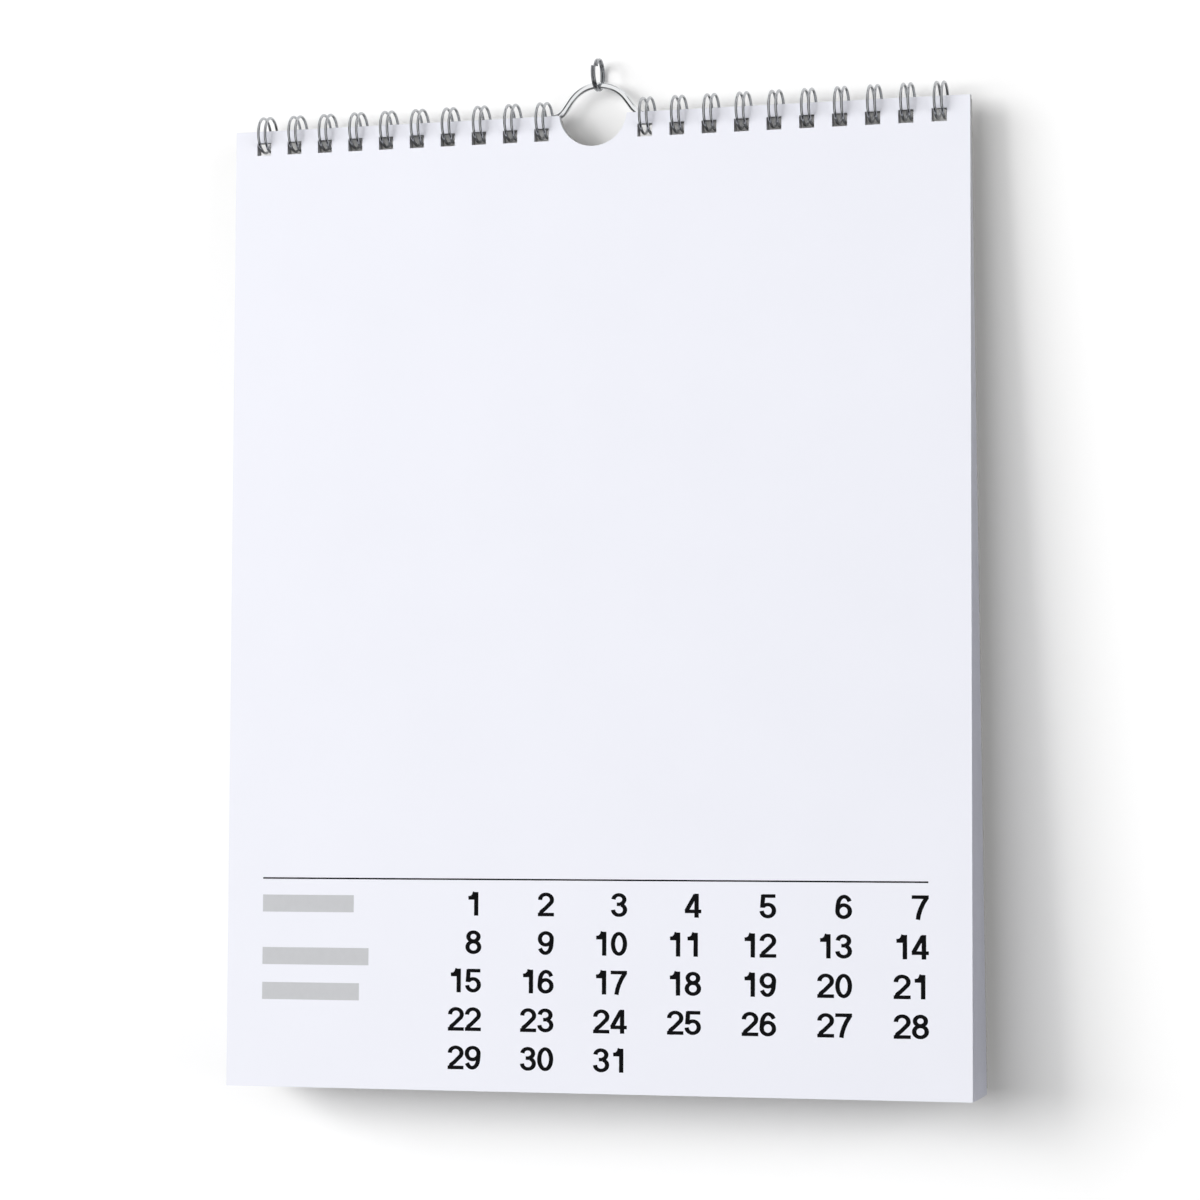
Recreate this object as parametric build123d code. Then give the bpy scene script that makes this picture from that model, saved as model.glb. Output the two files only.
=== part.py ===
from build123d import *
import math
import os

# Wall calendar: a fanned block of sheets on a backing board, bound along the top with two
# twin-loop wire combs, with a bent wire hanger and a split ring to hang it by.
# Millimetres. X runs across the sheets, Y runs back towards the wall, Z runs up.
# The origin is on the inside top of the hanging ring, where the ring bears on its hook.

# Sheets
sheet_width = 293.4
sheet_length = 374.1
sheet_count = 13
paper_thickness = 0.2
fan_angle = 4.13
fan_growth = 1.5
bound_depth = 16.0

# Backing board
board_thickness = 1.0
board_length = 370.4
board_gap = 0.2
board_top_clearance = 0.3

# Punched holes and thumb cut
hole_width = 5.8
hole_height = 5.0
hole_margin = 4.6
thumb_cut_width = 27.0
thumb_cut_depth = 12.3

# Twin-loop combs
loop_pitch = 12.7
loops_per_comb = 10
comb_gap = 41.3
loop_wire = 1.1
loop_radius = 6.8
loop_drop = 1.2
strand_spacing = 2.8
root_bend_radius = 1.0
root_angle = 4.0
tip_gap = 0.45
wire_tail = 1.0

# Hanger
hanger_wire = 2.6
hanger_clearance = 0.25
hump_height = 12.1
hump_flank_angle = 54.0
hump_crest_radius = 13.7
hump_foot_radius = 7.5
hanger_end_bevel = 0.4

# Hanging ring
ring_wire = 0.9
ring_outer_diameter = 12.7
ring_turns = 2
ring_turn_gap = 0.05
ring_play = 0.1
ring_end_angle = 150.0

# One overrun for every cut that passes right through
cut_overrun = 1.0

# Places worked out from the sizes above
ring_radius = (ring_outer_diameter - ring_wire) / 2
ring_bore_radius = ring_radius - ring_wire / 2
hanger_orbit = loop_radius - loop_wire / 2 - hanger_wire / 2 - hanger_clearance
board_back_y = -math.sqrt(hanger_orbit**2 - loop_drop**2)
board_front_y = board_back_y - board_thickness
sheets_back_y = board_front_y - board_gap
crest_z = -(2 * ring_bore_radius - hanger_wire / 2 - ring_play)
sheet_top_z = crest_z - hump_height
loop_axis_z = sheet_top_z - loop_drop
board_top_z = loop_axis_z - board_top_clearance
hole_centre_z = sheet_top_z - hole_margin - hole_height / 2
stack_thickness = sheet_count * paper_thickness


def loop_centres():
    """X of the middle of each loop, from left to right, as one list for each comb."""
    offsets = [comb_gap / 2 + loop_pitch * number for number in range(loops_per_comb)]
    return [[-offset for offset in reversed(offsets)], offsets]


def sheet_point(offset, angle, distance):
    """Point in the YZ plane at a distance down a sheet that leans out by an angle."""
    lean = math.radians(angle)
    y = sheets_back_y - offset - distance * math.sin(lean)
    return (y, sheet_top_z - distance * math.cos(lean))


def sheet_lean(number):
    """Angle that a sheet leans out by: none at the back, and growing towards the front."""
    return fan_angle * (number / (sheet_count - 1)) ** fan_growth


def fan_outline():
    """Outline of the fanned stack seen from its side, one blade for each sheet."""
    points = [sheet_point(0, 0, 0)]
    for number in range(sheet_count):
        lean = sheet_lean(number)
        rear = paper_thickness * number
        front = rear + paper_thickness
        points.append(sheet_point(rear, lean, sheet_length))
        points.append(sheet_point(front, lean, sheet_length))
        if number < sheet_count - 1:
            split_lean = (lean + sheet_lean(number + 1)) / 2
            points.append(sheet_point(front, split_lean, bound_depth))
    points.append(sheet_point(stack_thickness, 0, 0))
    return points


def binding_cutter():
    """Everything punched through the sheets and the board: the holes and the thumb cut."""
    front_y = sheets_back_y - stack_thickness - sheet_length * math.sin(math.radians(fan_angle))
    reach = board_back_y - front_y + 2 * cut_overrun
    centre_y = (board_back_y + front_y) / 2
    holes = [
        Pos(x, centre_y, hole_centre_z) * Box(hole_width, reach, hole_height)
        for comb in loop_centres()
        for x in comb
    ]
    half_width = thumb_cut_width / 2
    radius = (half_width**2 + thumb_cut_depth**2) / (2 * thumb_cut_depth)
    centre_z = sheet_top_z - thumb_cut_depth + radius
    thumb_cut = Pos(0, centre_y, centre_z) * Rot(90, 0, 0) * Cylinder(radius, reach)
    return [*holes, thumb_cut]


def page_block():
    """All the sheets as one solid, bound at the top and fanned out below."""
    section = Plane.YZ * make_face(Polyline(*fan_outline(), close=True))
    stack = extrude(section, sheet_width / 2, both=True)
    return stack - binding_cutter()


def back_board():
    """Stiff board behind the sheets, with its top edge just below the loops' axis."""
    centre_y = (board_back_y + board_front_y) / 2
    centre_z = board_top_z - board_length / 2
    board = Pos(0, centre_y, centre_z) * Box(sheet_width, board_thickness, board_length)
    return board - binding_cutter()


def loop_point(x, angle, radius=loop_radius, along=0):
    """Point on a loop at an angle from +Y, moved along the loop's tangent there."""
    turn = math.radians(angle)
    y = radius * math.cos(turn) - along * math.sin(turn)
    z = radius * math.sin(turn) + along * math.cos(turn)
    return (x, board_back_y + y, loop_axis_z + z)


def comb_path(centres):
    """One continuous wire: out along the back, round a finger and back, for every loop."""
    half = strand_spacing / 2
    bend = root_bend_radius
    slack = (1 - math.sqrt(0.5)) * bend
    closing = half + bend + loop_wire + tip_gap
    tip_angle = root_angle + 360 - math.degrees(closing / loop_radius)
    middle_angle = (root_angle + tip_angle) / 2
    edges = []
    start = loop_point(centres[0] - half - bend - wire_tail, root_angle, along=-bend)
    for x in centres:
        run_end = loop_point(x - half - bend, root_angle, along=-bend)
        edges.append(Line(start, run_end))
        left_root = loop_point(x - half, root_angle)
        left_knee = loop_point(x - half - slack, root_angle, along=slack - bend)
        edges.append(ThreePointArc(run_end, left_knee, left_root))
        left_tip = loop_point(x - half, tip_angle)
        edges.append(ThreePointArc(left_root, loop_point(x - half, middle_angle), left_tip))
        right_tip = loop_point(x + half, tip_angle)
        edges.append(ThreePointArc(left_tip, loop_point(x, tip_angle, along=half), right_tip))
        right_root = loop_point(x + half, root_angle)
        edges.append(ThreePointArc(right_tip, loop_point(x + half, middle_angle), right_root))
        start = loop_point(x + half + bend, root_angle, along=-bend)
        right_knee = loop_point(x + half + slack, root_angle, along=slack - bend)
        edges.append(ThreePointArc(right_root, right_knee, start))
    tail = loop_point(centres[-1] + half + bend + wire_tail, root_angle, along=-bend)
    edges.append(Line(start, tail))
    return Wire(edges)


def wire_comb(centres):
    """Twin-loop comb, closed behind the board, made from one length of round wire."""
    path = comb_path(centres)
    section = Plane(path @ 0, z_dir=path % 0) * Circle(loop_wire / 2)
    return sweep(section, path=path)


def hanger():
    """Bent wire with a hump in the middle and an arm through the loops on each side."""
    flank = math.radians(hump_flank_angle)
    peak = hump_height + hump_crest_radius * (1 / math.cos(flank) - 1)
    foot_x = peak / math.tan(flank)
    arm_end_x = comb_gap / 2 + loop_pitch * (loops_per_comb - 1) - loop_pitch / 2
    path = FilletPolyline(
        (-arm_end_x, 0, sheet_top_z),
        (-foot_x, 0, sheet_top_z),
        (0, 0, sheet_top_z + peak),
        (foot_x, 0, sheet_top_z),
        (arm_end_x, 0, sheet_top_z),
        radius=[hump_foot_radius, hump_crest_radius, hump_foot_radius],
    )
    section = Plane(path @ 0, z_dir=path % 0) * Circle(hanger_wire / 2)
    wire = sweep(section, path=path)
    ends = wire.faces().filter_by(GeomType.PLANE).edges()
    return chamfer(ends, hanger_end_bevel)


def hanging_ring():
    """Split ring: one springy wire wound twice round, standing across the hanger's crest."""
    pitch = ring_wire + ring_turn_gap
    path = Helix(pitch, pitch * ring_turns, ring_radius)
    section = Plane(path @ 0, z_dir=path % 0) * Circle(ring_wire / 2)
    coil = sweep(section, path=path, is_frenet=True)
    coil = Pos(0, 0, -pitch * ring_turns / 2) * coil
    across = Rot(ring_end_angle, 0, 0) * Rot(0, 90, 0) * Rot(0, 0, 90)
    return Pos(0, 0, -ring_bore_radius) * across * coil


os.makedirs("parts", exist_ok=True)
left_centres, right_centres = loop_centres()
nodes = {
    "page_block": page_block(),
    "back_board": back_board(),
    "wire_comb_left": wire_comb(left_centres),
    "wire_comb_right": wire_comb(right_centres),
    "hanger": hanger(),
    "hanging_ring": hanging_ring(),
}
for name, shape in nodes.items():
    export_step(shape, f"parts/{name}.step")
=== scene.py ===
import logging
import math
from dataclasses import dataclass, field
from enum import Enum
from typing import Any, Sequence

import bmesh
import bpy
from mathutils import Matrix, Vector


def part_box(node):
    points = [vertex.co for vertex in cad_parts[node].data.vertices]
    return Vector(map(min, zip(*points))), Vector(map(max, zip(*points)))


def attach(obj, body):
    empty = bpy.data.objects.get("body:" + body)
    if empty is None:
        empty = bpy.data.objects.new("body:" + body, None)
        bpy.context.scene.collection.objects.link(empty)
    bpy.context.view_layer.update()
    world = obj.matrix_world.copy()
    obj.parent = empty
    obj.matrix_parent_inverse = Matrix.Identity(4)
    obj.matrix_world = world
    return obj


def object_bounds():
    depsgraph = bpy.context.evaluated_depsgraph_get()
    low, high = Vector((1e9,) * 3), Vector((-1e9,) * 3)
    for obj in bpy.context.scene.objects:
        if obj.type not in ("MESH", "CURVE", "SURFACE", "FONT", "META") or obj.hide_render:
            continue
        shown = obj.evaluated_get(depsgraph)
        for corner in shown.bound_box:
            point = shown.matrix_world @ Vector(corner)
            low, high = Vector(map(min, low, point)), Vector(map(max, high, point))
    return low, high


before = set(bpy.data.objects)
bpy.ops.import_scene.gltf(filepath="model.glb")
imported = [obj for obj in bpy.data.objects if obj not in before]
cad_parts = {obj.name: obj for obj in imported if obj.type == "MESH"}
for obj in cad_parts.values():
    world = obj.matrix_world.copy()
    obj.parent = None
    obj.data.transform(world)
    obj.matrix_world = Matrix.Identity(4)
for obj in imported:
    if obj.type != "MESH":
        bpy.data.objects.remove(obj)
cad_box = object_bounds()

MM = 0.001
log = logging.getLogger("wall_calendar")


def linear(code: str) -> tuple[float, float, float, float]:
    """Turn an sRGB hex colour into linear light.

    Args:
        code: colour as a hash sign and six hex digits.

    Returns:
        Red, green, blue and an alpha of 1, in linear light.
    """
    channels = [int(code[start : start + 2], 16) / 255 for start in (1, 3, 5)]
    light = [c / 12.92 if c <= 0.04045 else ((c + 0.055) / 1.055) ** 2.4 for c in channels]
    return (light[0], light[1], light[2], 1.0)


def add_node(
    tree: bpy.types.NodeTree,
    kind: str,
    settings: dict[str, Any] | None = None,
    inputs: dict[str | int, Any] | None = None,
) -> bpy.types.Node:
    """Add one shader node with its settings, values and links.

    Args:
        tree: node tree that takes the node.
        kind: Blender's name of the node type.
        settings: properties of the node itself.
        inputs: socket name or number to a value, or to an output socket to link.

    Returns:
        The new node.
    """
    node = tree.nodes.new(kind)
    for name, value in (settings or {}).items():
        setattr(node, name, value)
    for name, value in (inputs or {}).items():
        if isinstance(value, bpy.types.NodeSocket):
            tree.links.new(value, node.inputs[name])
        else:
            node.inputs[name].default_value = value
    return node


def new_material(name: str) -> tuple[bpy.types.Material, bpy.types.NodeTree]:
    """Start an empty node material.

    Args:
        name: the material's name.

    Returns:
        The material and its cleared node tree.
    """
    material = bpy.data.materials.new(name)
    material.use_nodes = True
    material.node_tree.nodes.clear()
    return material, material.node_tree


def finish_material(tree: bpy.types.NodeTree, shader: bpy.types.NodeSocket) -> None:
    """Link a shader to a new material output."""
    add_node(tree, "ShaderNodeOutputMaterial", inputs={"Surface": shader})


def per_metre(size_mm: float) -> float:
    """Texture scale at which one cell of a pattern measures a size in millimetres."""
    return 1.0 / (size_mm * MM)


@dataclass(frozen=True)
class PaperFinish:
    """Matt-coated white card, offset printed, guillotined and punched.

    The coating gives the eye a flat, faintly cool white with no gloss, and only a slight
    cloudiness where the fibres lie thicker. The cut edges carry painted shade, a little darker,
    for the shade in the gaps between the stacked sheets, and darker painted shade near the
    binding and in the punched holes, where little light gets between.
    """

    name: str = "matt_coated_card"
    light_hex: str = "#f1f2fa"
    cloud_hex: str = "#eeeff7"
    # Painted shade on the cut edges, for the shade between the stacked sheets; darker painted shade
    # near the binding and in the punched holes
    shaded_edge_hex: str = "#cfd0d3"
    binding_shade_edge_hex: str = "#b4b5b8"
    roughness: float = 0.62
    ior: float = 1.47
    cloud_mm: float = 38.0
    fibre_mm: float = 0.6
    fibre_height_mm: float = 0.006
    binding_shade_reach_mm: float = 12.0
    shade_fade_reach_mm: float = 95.0
    face_share: float = 0.6

    def build(self) -> bpy.types.Material:
        """Make the material."""
        material, tree = new_material(self.name)
        texture = add_node(tree, "ShaderNodeTexCoord")
        place = texture.outputs["Object"]
        cloud = add_node(
            tree,
            "ShaderNodeTexNoise",
            inputs={"Vector": place, "Scale": per_metre(self.cloud_mm), "Detail": 3.0},
        )
        face = add_node(
            tree,
            "ShaderNodeMix",
            {"data_type": "RGBA"},
            {0: cloud.outputs["Fac"], 6: linear(self.cloud_hex), 7: linear(self.light_hex)},
        )
        height = add_node(tree, "ShaderNodeSeparateXYZ", inputs={"Vector": place})
        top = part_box("page_block")[1].z
        # The painted shade on the cut edges is darkest just below the top, at the binding and the
        # punched holes, and fades out further down
        binding_shade_fade = add_node(
            tree,
            "ShaderNodeMapRange",
            inputs={
                "Value": height.outputs["Z"],
                "From Min": top - self.binding_shade_reach_mm * MM,
                "From Max": top - self.shade_fade_reach_mm * MM,
            },
        )
        # Painted shade for the cut edges
        edge = add_node(
            tree,
            "ShaderNodeMix",
            {"data_type": "RGBA"},
            {
                0: binding_shade_fade.outputs["Result"],
                6: linear(self.binding_shade_edge_hex),
                7: linear(self.shaded_edge_hex),
            },
        )
        normal = add_node(tree, "ShaderNodeSeparateXYZ", inputs={"Vector": texture.outputs["Normal"]})
        facing = add_node(
            tree, "ShaderNodeMath", {"operation": "ABSOLUTE"}, {0: normal.outputs["Y"]}
        )
        is_face = add_node(
            tree,
            "ShaderNodeMath",
            {"operation": "GREATER_THAN"},
            {0: facing.outputs["Value"], 1: self.face_share},
        )
        # Cut edges take the painted shade, the faces keep the coated white
        tone = add_node(
            tree,
            "ShaderNodeMix",
            {"data_type": "RGBA"},
            {0: is_face.outputs["Value"], 6: edge.outputs[2], 7: face.outputs[2]},
        )
        fibre = add_node(
            tree,
            "ShaderNodeTexNoise",
            inputs={"Vector": place, "Scale": per_metre(self.fibre_mm), "Detail": 4.0},
        )
        bump = add_node(
            tree,
            "ShaderNodeBump",
            inputs={
                "Height": fibre.outputs["Fac"],
                "Distance": self.fibre_height_mm * MM,
                "Strength": 0.5,
            },
        )
        shader = add_node(
            tree,
            "ShaderNodeBsdfPrincipled",
            inputs={
                "Base Color": tone.outputs[2],
                "Roughness": self.roughness,
                "IOR": self.ior,
                "Normal": bump.outputs["Normal"],
            },
        )
        finish_material(tree, shader.outputs["BSDF"])
        return material


@dataclass(frozen=True)
class GreyboardFinish:
    """Pressed greyboard, the stiff backing card of pads and calendars.

    Recycled fibre gives it a pale grey with small darker and lighter flecks and a dry,
    slightly rough face.
    """

    name: str = "pressed_greyboard"
    ground_hex: str = "#b8b6b1"
    fleck_hex: str = "#9d9b96"
    roughness: float = 0.88
    ior: float = 1.45
    fleck_mm: float = 1.1
    fleck_range: tuple[float, float] = (0.34, 0.56)
    grain_mm: float = 0.5
    grain_height_mm: float = 0.02

    def build(self) -> bpy.types.Material:
        """Make the material."""
        material, tree = new_material(self.name)
        place = add_node(tree, "ShaderNodeTexCoord").outputs["Object"]
        fleck = add_node(
            tree,
            "ShaderNodeTexNoise",
            inputs={"Vector": place, "Scale": per_metre(self.fleck_mm), "Detail": 6.0},
        )
        tone = add_node(tree, "ShaderNodeValToRGB", inputs={"Fac": fleck.outputs["Fac"]})
        stops = zip(tone.color_ramp.elements, self.fleck_range, (self.fleck_hex, self.ground_hex))
        for stop, position, colour in stops:
            stop.position = position
            stop.color = linear(colour)
        grain = add_node(
            tree,
            "ShaderNodeTexNoise",
            inputs={"Vector": place, "Scale": per_metre(self.grain_mm), "Detail": 3.0},
        )
        bump = add_node(
            tree,
            "ShaderNodeBump",
            inputs={
                "Height": grain.outputs["Fac"],
                "Distance": self.grain_height_mm * MM,
                "Strength": 0.8,
            },
        )
        shader = add_node(
            tree,
            "ShaderNodeBsdfPrincipled",
            inputs={
                "Base Color": tone.outputs["Color"],
                "Roughness": self.roughness,
                "IOR": self.ior,
                "Normal": bump.outputs["Normal"],
            },
        )
        finish_material(tree, shader.outputs["BSDF"])
        return material


@dataclass(frozen=True)
class WireFinish:
    """Round steel wire, drawn through a die and then plated or left bare.

    Drawing leaves faint lengthwise scores, and handling leaves patches that are a little
    duller, so the shine is clear but not that of a mirror.
    """

    name: str
    bright_hex: str
    dull_hex: str
    roughness: float
    roughness_spread: float
    score_mm: float = 0.25
    score_height_mm: float = 0.004
    patch_mm: float = 9.0

    def build(self) -> bpy.types.Material:
        """Make the material."""
        material, tree = new_material(self.name)
        place = add_node(tree, "ShaderNodeTexCoord").outputs["Object"]
        patch = add_node(
            tree,
            "ShaderNodeTexNoise",
            inputs={"Vector": place, "Scale": per_metre(self.patch_mm), "Detail": 2.0},
        )
        tone = add_node(
            tree,
            "ShaderNodeMix",
            {"data_type": "RGBA"},
            {0: patch.outputs["Fac"], 6: linear(self.dull_hex), 7: linear(self.bright_hex)},
        )
        rough = add_node(
            tree,
            "ShaderNodeMapRange",
            inputs={
                "Value": patch.outputs["Fac"],
                "To Min": self.roughness + self.roughness_spread,
                "To Max": self.roughness,
            },
        )
        score = add_node(
            tree,
            "ShaderNodeTexNoise",
            inputs={"Vector": place, "Scale": per_metre(self.score_mm), "Detail": 2.0},
        )
        bump = add_node(
            tree,
            "ShaderNodeBump",
            inputs={
                "Height": score.outputs["Fac"],
                "Distance": self.score_height_mm * MM,
                "Strength": 0.4,
            },
        )
        shader = add_node(
            tree,
            "ShaderNodeBsdfPrincipled",
            inputs={
                "Base Color": tone.outputs[2],
                "Metallic": 1.0,
                "Roughness": rough.outputs["Result"],
                "Normal": bump.outputs["Normal"],
            },
        )
        finish_material(tree, shader.outputs["BSDF"])
        return material


@dataclass(frozen=True)
class InkFinish:
    """Offset ink, dried on matt-coated card.

    The coating drinks it in, so it dries flat with hardly any gloss, and it is a little
    lighter where the film is thin.
    """

    name: str
    dense_hex: str
    thin_hex: str
    roughness: float = 0.7
    ior: float = 1.5
    shine: float = 0.1
    film_mm: float = 2.5

    def build(self) -> bpy.types.Material:
        """Make the material."""
        material, tree = new_material(self.name)
        place = add_node(tree, "ShaderNodeTexCoord").outputs["Object"]
        film = add_node(
            tree,
            "ShaderNodeTexNoise",
            inputs={"Vector": place, "Scale": per_metre(self.film_mm), "Detail": 4.0},
        )
        tone = add_node(
            tree,
            "ShaderNodeMix",
            {"data_type": "RGBA"},
            {0: film.outputs["Fac"], 6: linear(self.dense_hex), 7: linear(self.thin_hex)},
        )
        shader = add_node(
            tree,
            "ShaderNodeBsdfPrincipled",
            inputs={
                "Base Color": tone.outputs[2],
                "Roughness": self.roughness,
                "IOR": self.ior,
                "Specular IOR Level": self.shine,
            },
        )
        finish_material(tree, shader.outputs["BSDF"])
        return material


@dataclass(frozen=True)
class WallFinish:
    """Smooth wall in flat white emulsion paint, with a faint roller texture.

    It is seen from its front only. From behind, and by the rear lamp, it is see-through, so
    that the calendar's back can be looked at. To the camera it glows a little, and more away
    from the sheets, so that it stays white.
    """

    name: str = "flat_white_paint"
    paint_hex: str = "#fcfcfc"
    roughness: float = 0.9
    near_glow: float = 0.035
    far_glow: float = 0.15
    glow_reach: float = 60.0 * MM
    roller_mm: float = 2.0
    roller_height_mm: float = 0.01

    def glow(
        self, tree: bpy.types.NodeTree, place: bpy.types.NodeSocket
    ) -> bpy.types.NodeSocket:
        """Strength of the glow, which grows with the distance from the sheets' outline.

        Args:
            tree: node tree of the wall's material.
            place: the point on the wall.

        Returns:
            The output that gives the strength.
        """
        low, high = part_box("page_block")
        beyond = place
        for operation, step in (
            ("SUBTRACT", (low + high) / 2),
            ("ABSOLUTE", (0.0, 0.0, 0.0)),
            ("SUBTRACT", (high - low) / 2),
        ):
            moved = add_node(
                tree, "ShaderNodeVectorMath", {"operation": operation}, {0: beyond, 1: step}
            )
            beyond = moved.outputs["Vector"]
        parts = add_node(tree, "ShaderNodeSeparateXYZ", inputs={"Vector": beyond})
        outside = add_node(
            tree,
            "ShaderNodeMath",
            {"operation": "MAXIMUM"},
            {0: parts.outputs["X"], 1: parts.outputs["Z"]},
        )
        strength = add_node(
            tree,
            "ShaderNodeMapRange",
            inputs={
                "Value": outside.outputs["Value"],
                "From Min": 0.0,
                "From Max": self.glow_reach,
                "To Min": self.near_glow,
                "To Max": self.far_glow,
            },
        )
        return strength.outputs["Result"]

    def build(self) -> bpy.types.Material:
        """Make the material."""
        material, tree = new_material(self.name)
        place = add_node(tree, "ShaderNodeTexCoord").outputs["Object"]
        roller = add_node(
            tree,
            "ShaderNodeTexNoise",
            inputs={"Vector": place, "Scale": per_metre(self.roller_mm), "Detail": 2.0},
        )
        bump = add_node(
            tree,
            "ShaderNodeBump",
            inputs={
                "Height": roller.outputs["Fac"],
                "Distance": self.roller_height_mm * MM,
                "Strength": 0.3,
            },
        )
        paint = add_node(
            tree,
            "ShaderNodeBsdfPrincipled",
            inputs={
                "Base Color": linear(self.paint_hex),
                "Roughness": self.roughness,
                "Normal": bump.outputs["Normal"],
            },
        )
        glow = add_node(
            tree,
            "ShaderNodeEmission",
            inputs={"Color": linear("#ffffff"), "Strength": self.glow(tree, place)},
        )
        lit = add_node(
            tree,
            "ShaderNodeAddShader",
            inputs={0: paint.outputs["BSDF"], 1: glow.outputs["Emission"]},
        )
        ray = add_node(tree, "ShaderNodeLightPath")
        front = add_node(
            tree,
            "ShaderNodeMixShader",
            inputs={
                0: ray.outputs["Is Camera Ray"],
                1: paint.outputs["BSDF"],
                2: lit.outputs["Shader"],
            },
        )
        side = add_node(tree, "ShaderNodeNewGeometry")
        let_through = add_node(
            tree,
            "ShaderNodeMath",
            {"operation": "MAXIMUM"},
            {0: side.outputs["Backfacing"], 1: ray.outputs["Is Shadow Ray"]},
        )
        clear = add_node(tree, "ShaderNodeBsdfTransparent")
        seen = add_node(
            tree,
            "ShaderNodeMixShader",
            inputs={
                0: let_through.outputs["Value"],
                1: front.outputs["Shader"],
                2: clear.outputs["BSDF"],
            },
        )
        finish_material(tree, seen.outputs["Shader"])
        return material


class Finish(Enum):
    """The finishes on the calendar, by what each real surface is."""

    PAPER = PaperFinish()
    BOARD = GreyboardFinish()
    COMB = WireFinish("nickel_plated_binding_wire", "#c8cacd", "#aeb0b3", 0.12, 0.05)
    HANGER = WireFinish("bright_plated_hanger_wire", "#f2f3f4", "#e4e6e8", 0.09, 0.06)
    RING = WireFinish("dark_spring_steel_wire", "#b4b6b9", "#96989c", 0.14, 0.06)
    BLACK_INK = InkFinish("black_offset_ink", "#050506", "#0d0d0f")
    GREY_INK = InkFinish("grey_tint_of_offset_ink", "#c3c4c7", "#cacbce")

    def material(self) -> bpy.types.Material:
        """The finish's material, made once and then shared."""
        found = bpy.data.materials.get(self.value.name)
        return found or self.value.build()


def dress(piece: bpy.types.Object, finish: Finish) -> None:
    """Put one finish on a whole piece."""
    piece.data.materials.clear()
    piece.data.materials.append(finish.material())


@dataclass(frozen=True)
class FrontSheet:
    """The plane of the front sheet's face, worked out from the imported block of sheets."""

    node: str = "page_block"
    tolerance: float = 0.05 * MM

    def edge(self, at_top: bool) -> Vector:
        """Middle of the front sheet's top edge, or of its foot."""
        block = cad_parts[self.node]
        low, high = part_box(self.node)
        corners = [block.matrix_world @ corner.co for corner in block.data.vertices]
        if at_top:
            row = [c for c in corners if high.z - c.z < self.tolerance]
        else:
            row = [c for c in corners if c.y - low.y < self.tolerance]
        front = min(row, key=lambda corner: corner.y)
        return Vector(((low.x + high.x) / 2, front.y, front.z))

    def matrix(self) -> Matrix:
        """Place of the sheet: X to the right, Y up the sheet and Z out of its face."""
        top = self.edge(at_top=True)
        up = (top - self.edge(at_top=False)).normalized()
        right = Vector((1, 0, 0))
        axes = Matrix((right, up, right.cross(up))).transposed().to_4x4()
        return Matrix.Translation(top) @ axes


Outline = list[tuple[float, float]]


def arc(
    centre: tuple[float, float],
    radii: tuple[float, float],
    start: float,
    end: float,
    steps: int = 20,
) -> Outline:
    """Points along part of an ellipse.

    Args:
        centre: the ellipse's centre.
        radii: its half-width and half-height.
        start: first angle, in degrees from the right, anticlockwise.
        end: last angle.
        steps: number of straight pieces.

    Returns:
        The points, from the first angle to the last.
    """
    angles = [math.radians(start + (end - start) * n / steps) for n in range(steps + 1)]
    return [
        (centre[0] + radii[0] * math.cos(a), centre[1] + radii[1] * math.sin(a)) for a in angles
    ]


@dataclass(frozen=True)
class NumeralDesign:
    """Plain bold numerals, drawn as strokes in shares of their height.

    Every numeral is as high as 1 and stands on 0 in a cell of one width, and its strokes are
    given by the line along their middle. Upright strokes are heavier than level ones.
    """

    cell_share: float = 0.76
    width_share: float = 0.71
    upright_share: float = 0.188
    level_share: float = 0.15
    one_right_share: float = 0.565

    def strokes(self, digit: str) -> list[Outline]:
        """Middle lines of a numeral's strokes, in shares of its height."""
        left, right = self.upright_share / 2, self.width_share - self.upright_share / 2
        middle, half = self.width_share / 2, (right - left) / 2
        low, high = self.level_share / 2, 1 - self.level_share / 2
        stem = self.one_right_share - self.upright_share / 2
        table: dict[str, list[Outline]] = {
            "0": [arc((middle, 0.5), (half, 0.5 - low), 0, 360, 44)],
            "1": [
                [(stem, 0), (stem, 1)],
                [(stem - 0.35, 0.75), (stem, 0.75)],
                [(stem - 0.35, 0.755), (stem - 0.22, 0.77), (stem - 0.12, 0.84), (stem - 0.06, 1)],
            ],
            "2": [
                arc((middle, 0.695), (half, high - 0.695), 182, -32)
                + [(middle - 0.04, 0.32), (left + 0.06, 0.19), (left, 0.02)],
                [(0, low), (self.width_share, low)],
            ],
            "3": [
                arc((middle - 0.01, 0.73), (half - 0.025, high - 0.73), 178, -75),
                arc((middle, 0.3), (half, 0.3 - low), 72, -180),
                [(middle - 0.1, 0.53), (middle + 0.06, 0.53)],
            ],
            "4": [
                [(0.505, 0), (0.505, 1)],
                [(0, 0.262), (self.width_share, 0.262)],
                [(0.06, 0.27), (0.455, 0.945)],
            ],
            "5": [
                [(left + 0.02, high), (right + 0.06, high)],
                [(left + 0.06, 0.98), (left + 0.02, 0.44)],
                arc((middle - 0.005, 0.325), (half, 0.325 - low), 140, -176, 28),
            ],
            "6": [
                arc((middle, 0.325), (half, 0.325 - low), 0, 360, 40),
                arc((middle + 0.02, 0.55), (half, high - 0.55), 28, 172) + [(left, 0.36)],
            ],
            "7": [
                [(0, high), (self.width_share, high)],
                [(right + 0.02, high), (0.47, 0.66), (0.36, 0.42), (0.29, 0.2), (0.255, 0)],
            ],
            "8": [
                arc((middle, 0.735), (half - 0.035, high - 0.735), 0, 360, 40),
                arc((middle, 0.3), (half, 0.3 - low), 0, 360, 40),
            ],
        }
        if digit == "9":
            return [[(self.width_share - x, 1 - y) for x, y in line] for line in table["6"]]
        return table[digit]


# Share of a stroke's width within which its two ends count as one point
CLOSED_SHARE = 0.01
# At a bend, a mitre reaches no further out than half the width divided by this share
MITRE_LIMIT = 0.5


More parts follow.
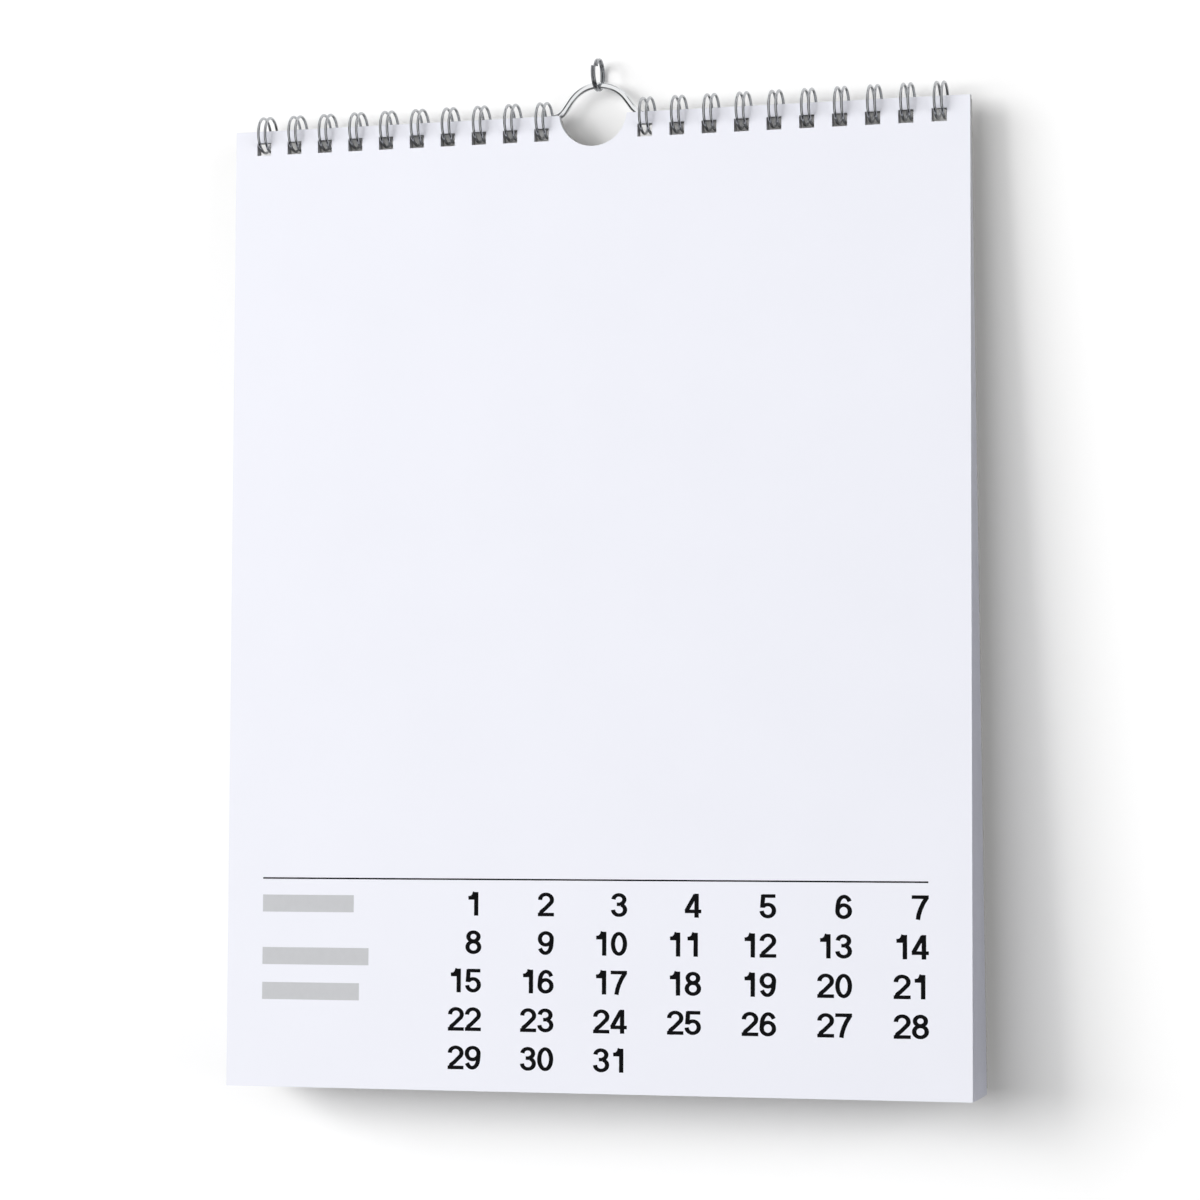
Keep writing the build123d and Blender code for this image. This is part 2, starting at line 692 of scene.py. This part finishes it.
def ribbon(line: Outline, upright: float, level: float, thickness: float) -> bmesh.types.BMesh:
    """Closed flat strip along a line.

    Args:
        line: points along the strip's middle.
        upright: the strip's width where the line runs up or down.
        level: its width where the line runs across.
        thickness: its thickness, half of it on each side of 0.

    Returns:
        The strip as a mesh, closed on itself if the line is.
    """
    closed = math.dist(line[0], line[-1]) < level * CLOSED_SHARE
    points = [Vector(p) for p in (line[:-1] if closed else line)]
    count = len(points)
    sections = []
    mesh = bmesh.new()
    for number, point in enumerate(points):
        before = points[number - 1] if number or closed else point
        after = points[(number + 1) % count] if number < count - 1 or closed else point
        run_in = (point - before).normalized() if number or closed else None
        run_out = (after - point).normalized() if number < count - 1 or closed else None
        along = ((run_in or run_out) + (run_out or run_in)).normalized()
        width = upright * along.y**2 + level * along.x**2
        spread = width / 2 / max(MITRE_LIMIT, along.dot(run_in or run_out))
        side = Vector((-along.y, along.x)) * spread
        corners = []
        for across, height in ((side, 1), (side, -1), (-side, -1), (-side, 1)):
            spot = point + across
            corners.append(mesh.verts.new((spot.x, spot.y, height * thickness / 2)))
        sections.append(corners)
    pairs = list(zip(sections, sections[1:] + sections[:1]))
    for first, second in pairs if closed else pairs[:-1]:
        for edge in range(4):
            following = (edge + 1) % 4
            mesh.faces.new((first[edge], first[following], second[following], second[edge]))
    if not closed:
        mesh.faces.new(sections[0][::-1])
        mesh.faces.new(sections[-1])
    bmesh.ops.recalc_face_normals(mesh, faces=mesh.faces)
    return mesh


def object_of(mesh: bmesh.types.BMesh, name: str) -> bpy.types.Object:
    """Turn a working mesh into an object in the scene and free it."""
    data = bpy.data.meshes.new(name)
    mesh.to_mesh(data)
    mesh.free()
    piece = bpy.data.objects.new(name, data)
    bpy.context.scene.collection.objects.link(piece)
    return piece


def applied(piece: bpy.types.Object) -> bpy.types.Mesh:
    """The piece's mesh with its modifiers applied."""
    graph = bpy.context.evaluated_depsgraph_get()
    return bpy.data.meshes.new_from_object(piece.evaluated_get(graph))


def united(parts: Sequence[bmesh.types.BMesh], name: str) -> bpy.types.Mesh:
    """One closed mesh from several that overlap.

    Args:
        parts: closed working meshes, which are freed.
        name: name of the result.

    Returns:
        The union as mesh data.
    """
    pieces = [object_of(part, f"{name}_part") for part in parts]
    body, others = pieces[0], pieces[1:]
    for other in others:
        cut = body.modifiers.new("join", "BOOLEAN")
        cut.operation = "UNION"
        cut.solver = "EXACT"
        cut.object = other
    data = applied(body)
    data.name = name
    for piece in pieces:
        spare = piece.data
        bpy.data.objects.remove(piece)
        bpy.data.meshes.remove(spare)
    return data


@dataclass(frozen=True)
class TitleBar:
    """A plain grey bar, where a line of words would be printed."""

    width: float
    baseline: float


@dataclass
class DateTable:
    """Dates, rule and grey bars printed at the foot of the front sheet.

    Each stands out of the sheet by the ink's height, and reaches as far into it.
    """

    sheet: FrontSheet
    design: NumeralDesign = field(default_factory=NumeralDesign)
    digit_height: float = 9.0 * MM
    days: int = 31
    days_per_row: int = 7
    first_baseline: float = 307.45 * MM
    row_pitch: float = 14.62 * MM
    first_right_edge: float = -42.95 * MM
    column_pitch: float = 28.9 * MM
    ink_height: float = 0.03 * MM
    rule_drop: float = 293.6 * MM
    rule_left: float = -132.2 * MM
    rule_right: float = 130.3 * MM
    rule_weight: float = 0.6 * MM
    bar_height: float = 6.6 * MM
    bars: tuple[TitleBar, ...] = (
        TitleBar(37.4 * MM, 306.6 * MM),
        TitleBar(43.6 * MM, 326.9 * MM),
        TitleBar(39.8 * MM, 340.4 * MM),
    )

    def numerals(self) -> dict[str, bpy.types.Mesh]:
        """Mesh of each numeral, in shares of its height."""
        design = self.design
        thickness = self.ink_height / self.digit_height * 2
        return {
            digit: united(
                [
                    ribbon(line, design.upright_share, design.level_share, thickness)
                    for line in design.strokes(digit)
                ],
                f"numeral_{digit}",
            )
            for digit in "0123456789"
        }

    def dates(self) -> bpy.types.Object:
        """All the dates as one piece, each set flush right in its column."""
        meshes = self.numerals()
        table = bmesh.new()
        cell = self.design.cell_share * self.digit_height
        spare = self.design.width_share * self.digit_height
        for day in range(self.days):
            row, column = divmod(day, self.days_per_row)
            number = str(day + 1)
            right = self.first_right_edge + column * self.column_pitch
            drop = self.first_baseline + row * self.row_pitch
            for place, digit in enumerate(reversed(number)):
                x = right - spare - place * cell
                known = len(table.verts)
                table.from_mesh(meshes[digit])
                table.verts.ensure_lookup_table()
                spot = Matrix.Translation((x, -drop, 0)) @ Matrix.Scale(self.digit_height, 4)
                bmesh.ops.transform(table, matrix=spot, verts=table.verts[known:])
        for mesh in meshes.values():
            bpy.data.meshes.remove(mesh)
        return self.print_piece(table, "printed_dates", Finish.BLACK_INK)

    def strips(self, spots: Sequence[tuple[float, float, float, float]]) -> bmesh.types.BMesh:
        """Level printed strips as one working mesh.

        Args:
            spots: each strip's left end, right end, distance down the sheet and weight.

        Returns:
            The strips on the sheet's plane.
        """
        table = bmesh.new()
        for left, right, drop, weight in spots:
            strip = ribbon([(left, -drop), (right, -drop)], weight, weight, self.ink_height * 2)
            data = bpy.data.meshes.new("strip")
            strip.to_mesh(data)
            strip.free()
            table.from_mesh(data)
            bpy.data.meshes.remove(data)
        return table

    def print_piece(
        self, table: bmesh.types.BMesh, name: str, finish: Finish
    ) -> bpy.types.Object:
        """Lay a flat working mesh on the front sheet as a printed piece.

        Args:
            table: the print, drawn on the sheet's plane.
            name: the piece's name.
            finish: its ink.

        Returns:
            The piece, which turns with the sheets.
        """
        bmesh.ops.transform(table, matrix=self.sheet.matrix(), verts=table.verts)
        piece = object_of(table, name)
        dress(piece, finish)
        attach(piece, "pages")
        return piece

    def build(self) -> list[bpy.types.Object]:
        """Print the rule, the bars and the dates."""
        rule = self.strips([(self.rule_left, self.rule_right, self.rule_drop, self.rule_weight)])
        bars = self.strips(
            [
                (
                    self.rule_left,
                    self.rule_left + bar.width,
                    bar.baseline - self.bar_height / 2,
                    self.bar_height,
                )
                for bar in self.bars
            ]
        )
        return [
            self.print_piece(rule, "printed_rule", Finish.BLACK_INK),
            self.print_piece(bars, "printed_bars", Finish.GREY_INK),
            self.dates(),
        ]


@dataclass
class BoundCalendar:
    """The solids that keep their shape from the frame and only take a finish."""

    finishes: dict[str, Finish] = field(
        default_factory=lambda: {
            "page_block": Finish.PAPER,
            "back_board": Finish.BOARD,
            "wire_comb_left": Finish.COMB,
            "wire_comb_right": Finish.COMB,
            "hanger": Finish.HANGER,
            "hanging_ring": Finish.RING,
        }
    )

    def build(self) -> list[bpy.types.Object]:
        """Dress every node of the frame."""
        for name, finish in self.finishes.items():
            dress(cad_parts[name], finish)
        return [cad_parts[name] for name in self.finishes]


@dataclass(frozen=True)
class Lamp:
    """Soft oblong lamp that faces the middle of the calendar.

    Its place, width and height are in metres, and its power is in watts. It doesn't show in
    metal, which reflects the room instead. A lamp with no bounces lights only what is seen,
    and throws no light on from there.
    """

    name: str
    place: tuple[float, float, float]
    size: tuple[float, float]
    power: float
    bounces: int = 12

    def build(self) -> None:
        """Hang the lamp."""
        data = bpy.data.lights.new(self.name, "AREA")
        data.shape = "RECTANGLE"
        data.size, data.size_y = self.size
        data.energy = self.power
        data.cycles.max_bounces = self.bounces
        lamp = bpy.data.objects.new(self.name, data)
        lamp.visible_glossy = False
        bpy.context.scene.collection.objects.link(lamp)
        centre = (cad_box[0] + cad_box[1]) / 2
        lamp.location = self.place
        aim = centre - Vector(self.place)
        lamp.rotation_euler = aim.to_track_quat("-Z", "Y").to_euler()


@dataclass(frozen=True)
class Room:
    """The surroundings: an even dim light, and a view of themselves in bright metal.

    In reflections the room is a tall bright window in front, and dark at the sides, at the
    ceiling and on the floor, which draws a dark line along each side of a bright wire.
    """

    ambient: float = 0.18
    bright_hex: str = "#ffffff"
    dark_hex: str = "#0c0c0e"
    half_width: tuple[float, float] = (0.45, 0.66)
    ceiling: tuple[float, float] = (0.9, 0.99)
    floor: tuple[float, float] = (-0.62, -0.8)

    def build(self) -> None:
        """Fill the world."""
        world = bpy.data.worlds.new("room")
        bpy.context.scene.world = world
        world.use_nodes = True
        world.cycles.sampling_method = "NONE"
        tree = world.node_tree
        tree.nodes.clear()
        aim = add_node(tree, "ShaderNodeTexCoord").outputs["Generated"]
        parts = add_node(tree, "ShaderNodeSeparateXYZ", inputs={"Vector": aim})
        aside = add_node(
            tree, "ShaderNodeMath", {"operation": "ABSOLUTE"}, {0: parts.outputs["X"]}
        )
        window = None
        for value, (full, none) in (
            (aside.outputs["Value"], self.half_width),
            (parts.outputs["Z"], self.ceiling),
            (parts.outputs["Z"], self.floor),
        ):
            share = add_node(
                tree,
                "ShaderNodeMapRange",
                inputs={"Value": value, "From Min": none, "From Max": full},
            )
            if window is None:
                window = share.outputs["Result"]
                continue
            both = add_node(
                tree,
                "ShaderNodeMath",
                {"operation": "MULTIPLY"},
                {0: window, 1: share.outputs["Result"]},
            )
            window = both.outputs["Value"]
        view = add_node(
            tree,
            "ShaderNodeMix",
            {"data_type": "RGBA"},
            {0: window, 6: linear(self.dark_hex), 7: linear(self.bright_hex)},
        )
        mirrored = add_node(
            tree, "ShaderNodeBackground", inputs={"Color": view.outputs[2], "Strength": 1.0}
        )
        even = add_node(
            tree,
            "ShaderNodeBackground",
            inputs={"Color": linear("#ffffff"), "Strength": self.ambient},
        )
        white = add_node(
            tree, "ShaderNodeBackground", inputs={"Color": linear("#ffffff"), "Strength": 1.0}
        )
        ray = add_node(tree, "ShaderNodeLightPath")
        in_metal = add_node(
            tree,
            "ShaderNodeMixShader",
            inputs={
                0: ray.outputs["Is Glossy Ray"],
                1: even.outputs["Background"],
                2: mirrored.outputs["Background"],
            },
        )
        seen = add_node(
            tree,
            "ShaderNodeMixShader",
            inputs={
                0: ray.outputs["Is Camera Ray"],
                1: in_metal.outputs["Shader"],
                2: white.outputs["Background"],
            },
        )
        add_node(tree, "ShaderNodeOutputWorld", inputs={"Surface": seen.outputs["Shader"]})


@dataclass
class Studio:
    """Wall, lamps, surroundings and camera."""

    wall_gap: float = 0.6 * MM
    wall_size: float = 5.0
    lamps: tuple[Lamp, ...] = (
        Lamp("window", (-2.92, -2.54, 0.72), (2.75, 2.0), 110.0),
        Lamp("front", (-1.68, -4.63, 0.67), (3.6, 2.6), 90.0),
        Lamp("fill", (3.4, -1.9, 0.3), (2.4, 2.0), 40.0),
        Lamp("rear", (-0.6, 2.4, 0.5), (1.5, 1.5), 54.0, bounces=0),
    )
    camera_place: tuple[float, float, float] = (393.58 * MM, -1375.48 * MM, -205.91 * MM)
    camera_yaw: float = 16.07
    camera_pitch: float = -0.1
    camera_roll: float = -0.906
    focal_px: float = 3700.0
    photo_px: float = 1200.0
    sensor_mm: float = 36.0
    clip: tuple[float, float] = (0.01, 50.0)

    def wall(self) -> None:
        """Stand a plain white wall just behind the calendar."""
        half = self.wall_size / 2
        depth = cad_box[1].y + self.wall_gap
        mesh = bmesh.new()
        corners = [(-half, -half), (half, -half), (half, half), (-half, half)]
        mesh.faces.new([mesh.verts.new((x, depth, z)) for x, z in corners])
        piece = object_of(mesh, "wall")
        piece.data.materials.append(WallFinish().build())

    def camera(self) -> None:
        """Set the camera at the photograph's place, to the right of the calendar."""
        data = bpy.data.cameras.new("camera")
        data.sensor_width = self.sensor_mm
        data.lens = self.focal_px / self.photo_px * self.sensor_mm
        data.clip_start, data.clip_end = self.clip
        camera = bpy.data.objects.new("camera", data)
        bpy.context.scene.collection.objects.link(camera)
        turn = (
            Matrix.Rotation(math.radians(self.camera_yaw), 4, "Z")
            @ Matrix.Rotation(math.radians(90 + self.camera_pitch), 4, "X")
            @ Matrix.Rotation(math.radians(self.camera_roll), 4, "Z")
        )
        camera.matrix_world = Matrix.Translation(self.camera_place) @ turn
        bpy.context.scene.camera = camera

    def build(self) -> None:
        """Set up the whole studio."""
        self.camera()
        self.wall()
        Room().build()
        for lamp in self.lamps:
            lamp.build()
        bpy.context.scene.view_settings.view_transform = "Standard"


def main() -> None:
    """Build the studio, dress the frame and print the front sheet."""
    logging.basicConfig(level=logging.INFO, format="%(message)s")
    Studio().build()
    for assembly in (BoundCalendar(), DateTable(FrontSheet())):
        kind = type(assembly).__name__
        for piece in assembly.build():
            log.info("%s %s: %d faces", kind, piece.name, len(piece.data.polygons))


if __name__ == "__main__":
    main()
